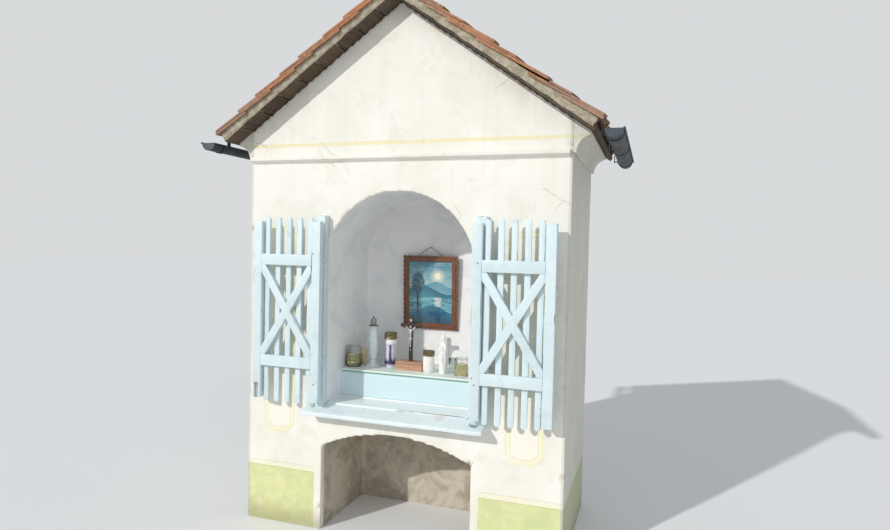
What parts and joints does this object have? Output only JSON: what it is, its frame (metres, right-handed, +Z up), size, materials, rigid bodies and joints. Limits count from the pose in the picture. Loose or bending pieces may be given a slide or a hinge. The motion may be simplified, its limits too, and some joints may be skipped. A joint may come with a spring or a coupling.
{
  "type": "wayside shrine",
  "caption": "Plastered masonry wayside shrine with a vaulted niche, arched recess below, tiled gable roof and two slatted timber gates that shut the niche.",
  "frame": {"origin": "on the ground at the middle of the footprint", "axes": "+X to the right of someone facing the shrine, +Y from the front into the depth, +Z up"},
  "size_m": [2.062, 1.04, 2.6623],
  "materials": {
    "masonry": "limewashed lime plaster, matt, worn",
    "painted_timber": "pale blue oil paint, weathered",
    "sill_timber": "pale blue paint, chipped to the wood",
    "shelf_timber": "pale green paint",
    "hinge_metal": "pale blue paint over steel, rust at the edges",
    "hook_metal": "dull, lightly rusted",
    "roof_timber": "dark weathered softwood",
    "roof_tile": "weathered clay, lichen and dust",
    "ridge_tile": "weathered clay bedded in mortar",
    "gutter_sheet": "dull galvanised sheet",
    "frame_wood": "dark brown stain, satin",
    "picture_paper": "printed card behind glass",
    "string": "twisted cord on a wire nail",
    "cross_wood": "dark stain, satin",
    "block_wood": "brown stain, worn",
    "figure_metal": "cast white metal, dull",
    "lamp_glass": "frosted pale blue glass on a silvered foot",
    "statue_white": "glazed white",
    "lantern_glass": "clear glass with a printed band",
    "candle_wax": "cream wax, burnt wick",
    "lid_metal": "gold lacquered tinplate",
    "jar_glass": "clear glass, water marks"
  },
  "bodies": {
    "shrine": {"left_pier": "masonry", "right_pier": "masonry", "back_wall": "masonry", "lower_arch": "masonry", "niche_vault": "masonry", "front_gable": "masonry", "back_gable": "masonry", "front_cornice": "masonry", "eaves_cornices": "masonry", "altar_step": "masonry", "shelf_board": "shelf_timber", "sill_board": "sill_timber", "left_post": "painted_timber", "right_post": "painted_timber", "post_hinges": "hinge_metal", "roof_boards": "roof_timber", "left_tiles": "roof_tile", "right_tiles": "roof_tile", "ridge_tiles": "ridge_tile", "gutters": "gutter_sheet", "gutter_brackets": "gutter_sheet", "picture_frame": "frame_wood", "picture_panel": "picture_paper", "picture_string": "string", "cross_block": "block_wood", "cross": "cross_wood", "cross_figure": "figure_metal", "tall_lamp": "lamp_glass", "statue": "statue_white", "lanterns": "lantern_glass", "lantern_lids": "lid_metal", "candle": "candle_wax", "jars": "jar_glass", "votive_glass": "jar_glass"},
    "left_gate": {"left_gate_stiles": "painted_timber", "left_gate_rails": "painted_timber", "left_gate_braces": "painted_timber", "left_gate_pickets": "painted_timber", "left_gate_hinges": "hinge_metal", "gate_hook": "hook_metal"},
    "right_gate": {"right_gate_stiles": "painted_timber", "right_gate_rails": "painted_timber", "right_gate_braces": "painted_timber", "right_gate_pickets": "painted_timber", "right_gate_hinges": "hinge_metal"}
  },
  "joints": [
    {"name": "left_gate_swing", "type": "hinge", "parent": "shrine", "child": "left_gate", "pos_m": [-0.36, -0.446, 1.09], "axis": [0, 0, 1], "range_deg": [0, 180]},
    {"name": "right_gate_swing", "type": "hinge", "parent": "shrine", "child": "right_gate", "pos_m": [0.392, -0.446, 1.09], "axis": [0, 0, 1], "range_deg": [-180, 0]}
  ]
}
